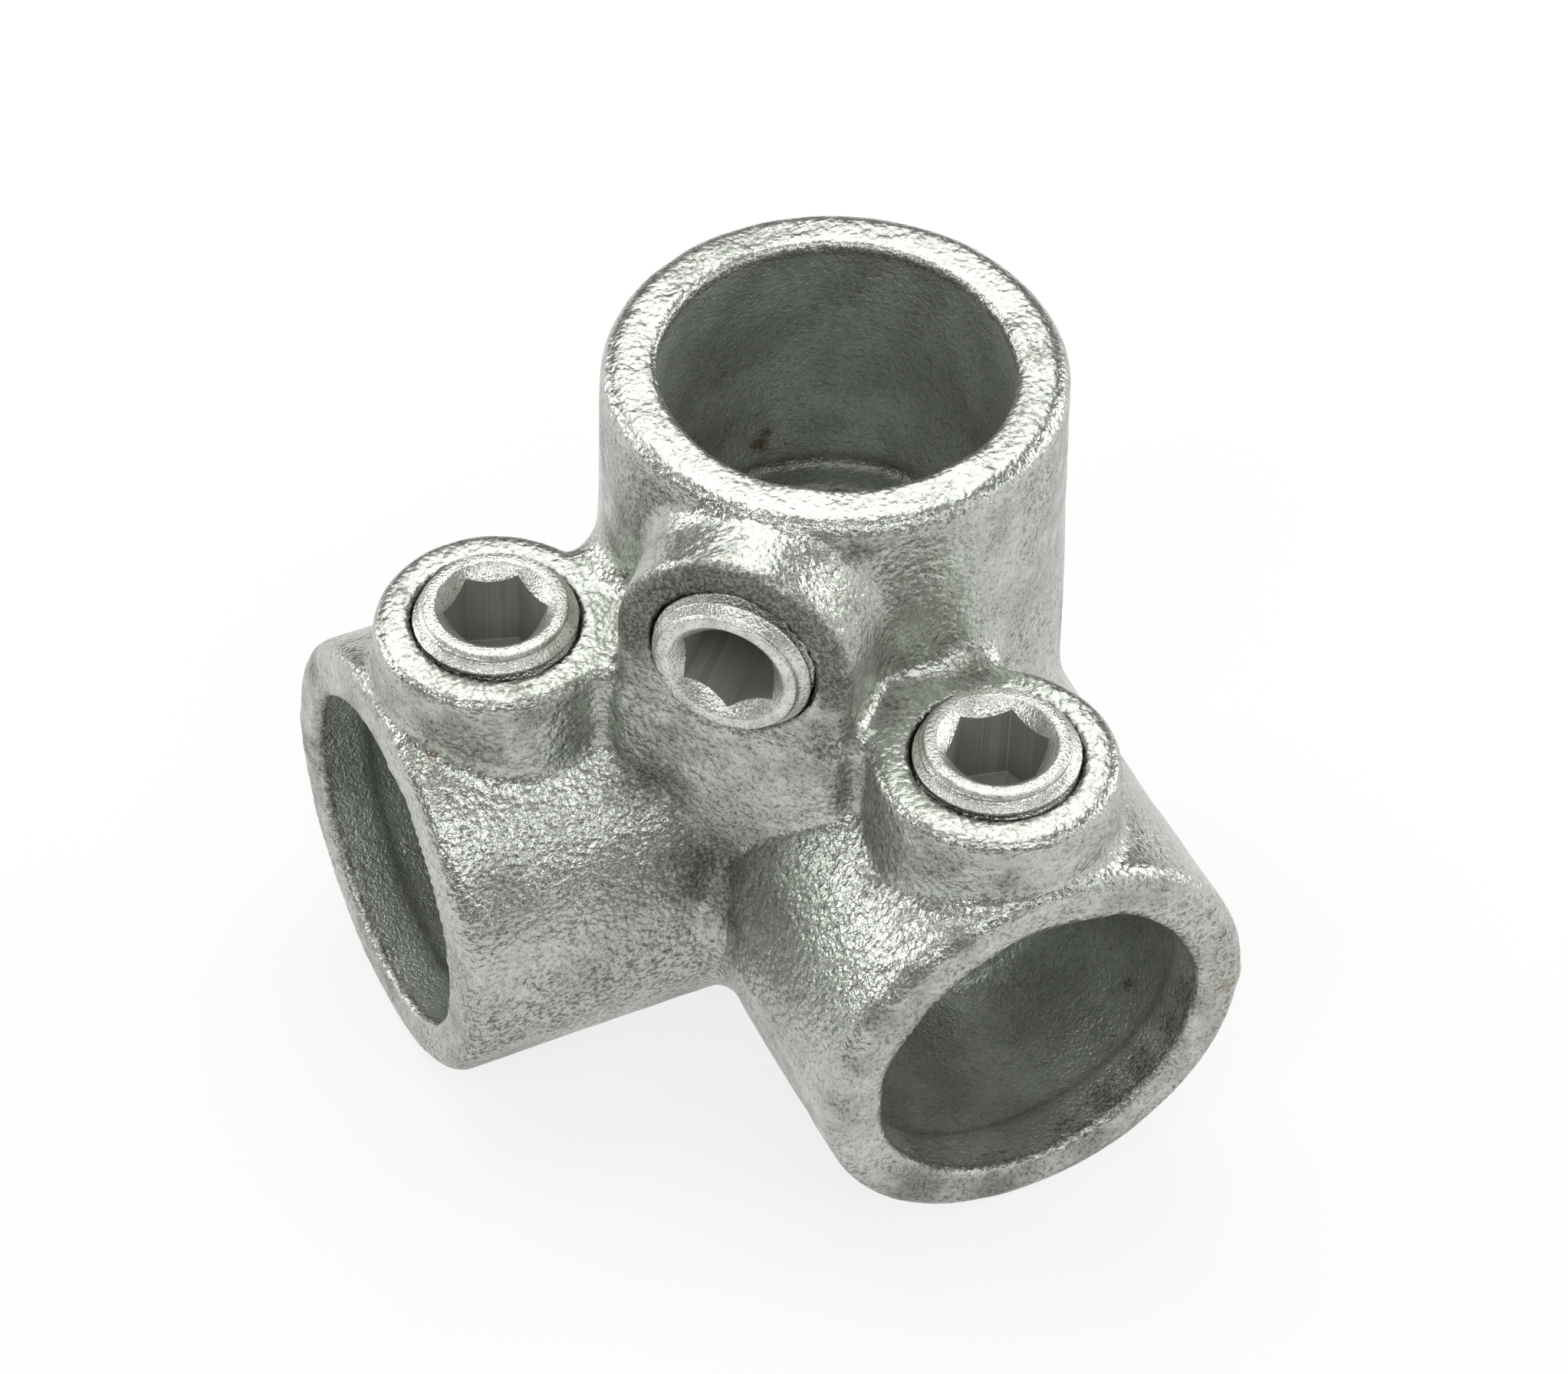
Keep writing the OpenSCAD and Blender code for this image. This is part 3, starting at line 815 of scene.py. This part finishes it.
def new_piece(name, vertices, quads, material, values=None):
    """A smooth-shaded object at the origin from vertices and quads, with values that its material reads."""
    mesh = bpy.data.meshes.new(name)
    mesh.vertices.add(len(vertices))
    mesh.vertices.foreach_set("co", vertices.astype(np.float32).ravel())
    mesh.loops.add(quads.size)
    mesh.loops.foreach_set("vertex_index", quads.astype(np.int32).ravel())
    mesh.polygons.add(len(quads))
    mesh.polygons.foreach_set("loop_start", np.arange(0, quads.size, 4, dtype=np.int32))
    mesh.polygons.foreach_set("use_smooth", np.ones(len(quads), dtype=bool))
    for label, data in (values or {}).items():
        layer = mesh.attributes.new(label, "FLOAT", "POINT")
        layer.data.foreach_set("value", data.astype(np.float32))
    mesh.update()
    if mesh.validate():
        raise RuntimeError("the mesh of " + name + " is not sound")
    mesh.materials.append(material)
    piece = bpy.data.objects.new(name, mesh)
    bpy.context.scene.collection.objects.link(piece)
    return piece


def screw_surface(s, turn):
    """Vertices and quads of a set screw with its point at the origin and its key hole up.

    The grid has the angle t one way and the profile the other: cup, bevel, thread, neck, ring,
    countersink, key hole and its floor. The thread is r = crest - depth min(1, max(0, 1 - d / groove) / cut),
    where d is the distance along the axis to the groove's helix, which climbs by z = pitch t / 2 pi. It is no
    more than the bevel and the chamfer leave. The key hole is r = (width / 2) / cos(t' - 30 degrees), with
    t' = (t - turn) mod 60 degrees.
    """
    angle = turn + np.arange(s.around) * (2 * math.pi / s.around)
    flat = s.key_width / 2 / np.cos((angle - turn) % (math.pi / 3) - math.pi / 6)
    side = s.length - s.neck
    bottom = s.length - s.key_depth
    soft = SOFT_PART * s.edge
    half = HALF_PART * s.edge
    rows = [
        (CAP, s.cup_depth), (s.cup - s.edge, CUP_PART * s.edge), (s.cup, 0),
        (s.crest - s.bevel - s.edge, 0), (s.crest - s.bevel, soft),
    ]
    count = int((side - s.edge) / s.pitch * s.per_turn)
    for z in np.linspace(s.edge, side, count):
        turns = (z - s.length + s.groove_drop) / s.pitch - (angle - s.groove_turn) / (2 * math.pi)
        off = np.abs(turns - np.round(turns)) * s.pitch
        cut = np.clip(1 - off / s.groove, 0, GROOVE_CUT) / GROOVE_CUT
        limit = min(s.crest, s.crest - s.bevel + z, s.ring + (side - z) * math.tan(s.chamfer))
        rows.append((np.minimum(s.crest - s.depth * cut, limit), z))
    sink_low = s.length - (s.sink - flat)
    rows += [
        (s.ring, s.length - s.edge), (s.ring - soft, s.length - soft), (s.ring - s.edge, s.length),
        (s.sink + s.edge, s.length), (s.sink + soft, s.length - SINK_PART * s.edge),
        (s.sink - half, s.length - half), (flat + half, sink_low + half), (flat, sink_low - soft),
        (flat, bottom + s.edge), (flat - s.edge, bottom), (CAP, bottom),
    ]
    r, z = (np.array([np.broadcast_to(row, s.around) for row in part]) for part in zip(*rows))
    grid = np.stack([r * np.cos(angle), r * np.sin(angle), z], axis=-1)
    key = np.zeros(r.shape)
    key[-KEY_ROWS:] = 1
    return *closed_grid(grid), {"key": key.ravel(), "around": (r * angle).ravel()}


def closed_grid(grid):
    """Vertices and quads of a grid that closes on itself across its columns, with a flat cap at each end."""
    rows, columns = grid.shape[:2]
    i, j = np.meshgrid(np.arange(rows - 1), np.arange(columns), indexing="ij")
    k = (j + 1) % columns
    row, above = i * columns, (i + 1) * columns
    quads = np.stack([row + j, row + k, above + k, above + j], axis=-1)
    ends = []
    half = columns // 2
    m = np.arange(half - 1)
    for base, flip in ((0, True), ((rows - 1) * columns, False)):
        strip = np.stack([base + m, base + m + 1, base + columns - 2 - m, base + columns - 1 - m], axis=-1)
        ends.append(strip[:, ::-1] if flip else strip)
    return grid.reshape(-1, 3), np.concatenate([quads.reshape(-1, 4)] + ends)


def mouth_marks(s, vertices):
    """How far vertices are in a bore, at a mouth's inner edge and on its band of painted shade, from 0 to 1.
    """
    inside, lip, shade_line = np.zeros((3, len(vertices)))
    for axis in range(3):
        away, along = socket_place(vertices, axis)
        depth = np.clip((s.reach - along) / ENTRY, 0, 1)
        inside = np.maximum(inside, np.where((away < s.bore + WALL_NEAR) & (along > 0), depth, 0))
        to_edge = np.square(away - s.bore) + np.square(s.reach - along)
        lip = np.maximum(lip, np.exp(-to_edge / LIP_REACH ** 2))
        # Painted shade in a band just inside the mouth
        shade_band = np.exp(-np.square((s.reach - SHADE_LINE_DEPTH - along) / SHADE_LINE_WIDTH))
        shade_line = np.maximum(shade_line, shade_band * (away < s.bore + SHADE_LINE_NEAR))
    inside[np.linalg.norm(vertices, axis=1) < s.stop] = 1
    return inside, lip, shade_line


def bore_end_shade_mark(s, vertices):
    """How much painted shade darkens the upright bore towards its stop, from 0 to 1."""
    away, along = socket_place(vertices, 2)
    dark = np.clip((s.stop + BORE_SHADE_START - along) / BORE_SHADE_LENGTH, 0, 1)
    return np.where((away < s.bore + WALL_NEAR) & (along > 0), dark, 0)


def ring_mark(s, vertices):
    """The dark ring around the upright socket's screw, exp(-((r - radius) / width)^2), on the face and above.
    """
    across, height = upright_place(vertices)
    up = vertices[:, 2] - s.screw_at
    ring = np.exp(-np.square((np.hypot(across, up) - s.dark_ring) / s.ring_width))
    on_face = np.clip((height - s.boss_face) / MM + RING_OVER, 0, 1)
    return ring * on_face * np.clip(up / RING_FADE + RING_LOW, 0, 1)


def screw_gap_shade_mark(s, vertices):
    """Painted shade in the gap around a screw, exp(-((d - out) / width)^2) at the distance d from its hole.
    """
    return np.exp(-np.square((screw_holes(s, vertices) - GAP_SHADE_OUT) / GAP_SHADE_WIDTH))


def sandy_mark(s, vertices, normal, inside):
    """How sandy the zinc is: more on steep walls and in places, less in the bores and where it is clean."""
    sandy = np.clip(SANDY_SLOPE - normal[:, 2], 0, 1)
    sandy = sandy + SANDY_LUMPS * lumps(vertices, s.sag_size, s.seed + 3) - SANDY_INSIDE * inside
    return sandy - spots(vertices, CLEAN)


def unevenness(s, vertices, inside, lip):
    """Height of the wall's waviness, the zinc's peel, the mouths' uneven edges and the parting ridge."""
    rough = s.sag * lumps(vertices, s.sag_size, s.seed) + s.peel * lumps(vertices, s.peel_size, s.seed + 1)
    rough = rough + s.lip_wave * lip * lumps(vertices, s.lip_size, s.seed + 2)
    return rough + s.parting * np.exp(-np.square(vertices[:, 2] / s.parting_width)) * (inside == 0)


class OBJECT_OT_clamp_casting(Operator):
    """Make the finished surface of the casting"""

    bl_idname = "object.clamp_casting"
    bl_label = "Casting"

    def execute(self, context):
        s = context.scene.clamp_casting
        field = casting_field(s)
        margin = 2 * s.grid
        low = np.array(BODY_LOW) - margin
        high = np.array(BODY_HIGH) + margin
        vertices, quads = net_surface(field, low, high, s.grid)
        for _ in range(ROUNDS):
            vertices = settle(field, relax(vertices, quads), s.grid, 1)
        vertices = settle(field, vertices, s.grid, ROUNDS)
        normal = slope(field, vertices)
        inside, lip, shade_line = mouth_marks(s, vertices)
        dirt = DIRT_EVEN + DIRT_PATCHES * lumps(vertices, s.dirt_size, s.seed + 4)
        # Staining with painted shade: the dark ring, the band of painted shade inside each mouth, and
        # scattered dirt outside the bores
        stains_and_shade = [ring_mark(s, vertices), SHADE_LINE_STRENGTH * shade_line, dirt * (1 - inside)]
        values = {
            # Painted shade at the upright bore's end and in the gap around each screw
            "inside": inside, "deep": bore_end_shade_mark(s, vertices), "screw_gap_shade": screw_gap_shade_mark(s, vertices),
            "sandy": sandy_mark(s, vertices, normal, inside),
            # How level a face is: it paints light on level faces and calms their bumps
            "flat": np.clip((normal[:, 2] - LEVEL_SLOPE) / (1 - LEVEL_SLOPE), 0, 1),
        }
        vertices = vertices + unevenness(s, vertices, inside, lip)[:, None] * normal
        # Dull staining, which in the crotch and in the notch also paints shade
        values["stain_and_shade"] = np.maximum.reduce([spots(vertices, STAINS_AND_SHADE), *stains_and_shade])
        values["rust"] = spots(vertices, RUST)
        piece = new_piece("cast_body", vertices, quads, zinc_material(), values)
        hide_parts("casting")
        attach(piece, "clamp")
        return {"FINISHED"}


class OBJECT_OT_clamp_screws(Operator):
    """Make the three set screws with their threads"""

    bl_idname = "object.clamp_screws"
    bl_label = "Set screws"

    def execute(self, context):
        s = context.scene.clamp_screws
        body = context.scene.clamp_casting
        material = plated_material()
        point = SCREW_LOW.z
        upright = Matrix.Rotation(math.radians(45), 4, "Z") @ Matrix.Translation((point, 0, body.screw_at)) \
            @ Matrix.Rotation(math.radians(90), 4, "Y")
        places = {
            "x": (s.turn_x, Matrix.Translation((body.screw_at, 0, point))),
            "y": (s.turn_y, Matrix.Translation((0, body.screw_at, point))),
            "upright": (s.turn_upright, upright),
        }
        for name, (turn, matrix) in places.items():
            vertices, quads, values = screw_surface(s, turn)
            place = np.array(matrix)
            vertices = vertices @ place[:3, :3].T + place[:3, 3]
            piece = new_piece("set_screw_body_" + name, vertices, quads, material, values)
            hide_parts("set_screw_" + name)
            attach(piece, "screw_" + name)
        return {"FINISHED"}


class OBJECT_OT_clamp_stage(Operator):
    """Set up the floor, the lights, the world and the camera"""

    bl_idname = "object.clamp_stage"
    bl_label = "Stage"

    def execute(self, context):
        s = context.scene.clamp_stage
        self.make_floor(s)
        self.make_world(context.scene, s)
        self.make_lights(context.scene, s)
        self.make_camera(context.scene, s)
        context.scene.view_settings.view_transform = "Standard"
        return {"FINISHED"}

    def make_floor(self, s):
        """Lay the floor."""
        half = s.floor_size / 2
        z = CAD_LOW.z
        corners = np.array([(-half, -half, z), (half, -half, z), (half, half, z), (-half, half, z)])
        new_piece("floor", corners, np.array([[0, 1, 2, 3]]), floor_material())

    def make_world(self, scene, s):
        """Give the scene an even white light."""
        world = bpy.data.worlds.new("studio")
        tree = NodeTree(world)
        fill = tree.add("ShaderNodeBackground", {"Color": WHITE, "Strength": s.fill})
        tree.add("ShaderNodeOutputWorld", [fill])
        scene.world = world

    def make_lights(self, scene, s):
        """Set up the soft lights."""
        for name, azimuth, elevation, side, power in LAMPS:
            place = Matrix.Rotation(math.radians(azimuth), 3, "Z") \
                @ Matrix.Rotation(-math.radians(elevation), 3, "Y") @ Vector((s.lamp_distance, 0, 0))
            lamp = bpy.data.lights.new(name, "AREA")
            lamp.shape = "SQUARE"
            lamp.size = side
            lamp.energy = power
            holder = bpy.data.objects.new(name, lamp)
            holder.location = place
            holder.rotation_euler = place.to_track_quat("Z", "Y").to_euler()
            scene.collection.objects.link(holder)

    def make_camera(self, scene, s):
        """Set up the camera where the photo was taken from."""
        data = bpy.data.cameras.new("camera")
        data.sensor_width = SENSOR
        data.lens = s.lens
        data.clip_start = VIEW_START
        back = Vector((math.sin(s.azimuth) * math.cos(s.elevation),
                       -math.cos(s.azimuth) * math.cos(s.elevation), math.sin(s.elevation)))
        right = Vector((math.cos(s.azimuth), math.sin(s.azimuth), 0))
        up = back.cross(right)
        tilted_right = right * math.cos(s.roll) + up * math.sin(s.roll)
        tilted_up = up * math.cos(s.roll) - right * math.sin(s.roll)
        turn = Matrix((tilted_right, tilted_up, back)).transposed().to_4x4()
        camera = bpy.data.objects.new("camera", data)
        camera.matrix_world = Matrix.Translation(Vector(s.target) + back * s.distance) @ turn
        scene.collection.objects.link(camera)
        scene.camera = camera


class VIEW3D_PT_tube_clamp(Panel):
    """The steps that make the fitting"""

    bl_label = "Tube clamp"
    bl_idname = "VIEW3D_PT_tube_clamp"
    bl_space_type = "VIEW_3D"
    bl_region_type = "UI"
    bl_category = "Tube clamp"

    def draw(self, context):
        for step in STEPS:
            self.layout.operator(step.bl_idname)


STEPS = (OBJECT_OT_clamp_casting, OBJECT_OT_clamp_screws, OBJECT_OT_clamp_stage)
SETTINGS = {
    "clamp_casting": CastingSettings, "clamp_screws": ScrewSettings, "clamp_stage": StageSettings}
CLASSES = (*SETTINGS.values(), *STEPS, VIEW3D_PT_tube_clamp)


def register():
    for item in CLASSES:
        bpy.utils.register_class(item)
    for name, group in SETTINGS.items():
        setattr(bpy.types.Scene, name, PointerProperty(type=group))


def unregister():
    for name in SETTINGS:
        delattr(bpy.types.Scene, name)
    for item in reversed(CLASSES):
        bpy.utils.unregister_class(item)


def main():
    register()
    bpy.ops.object.clamp_casting()
    bpy.ops.object.clamp_screws()
    bpy.ops.object.clamp_stage()
    bpy.context.view_layer.update()


if __name__ == "__main__":
    main()
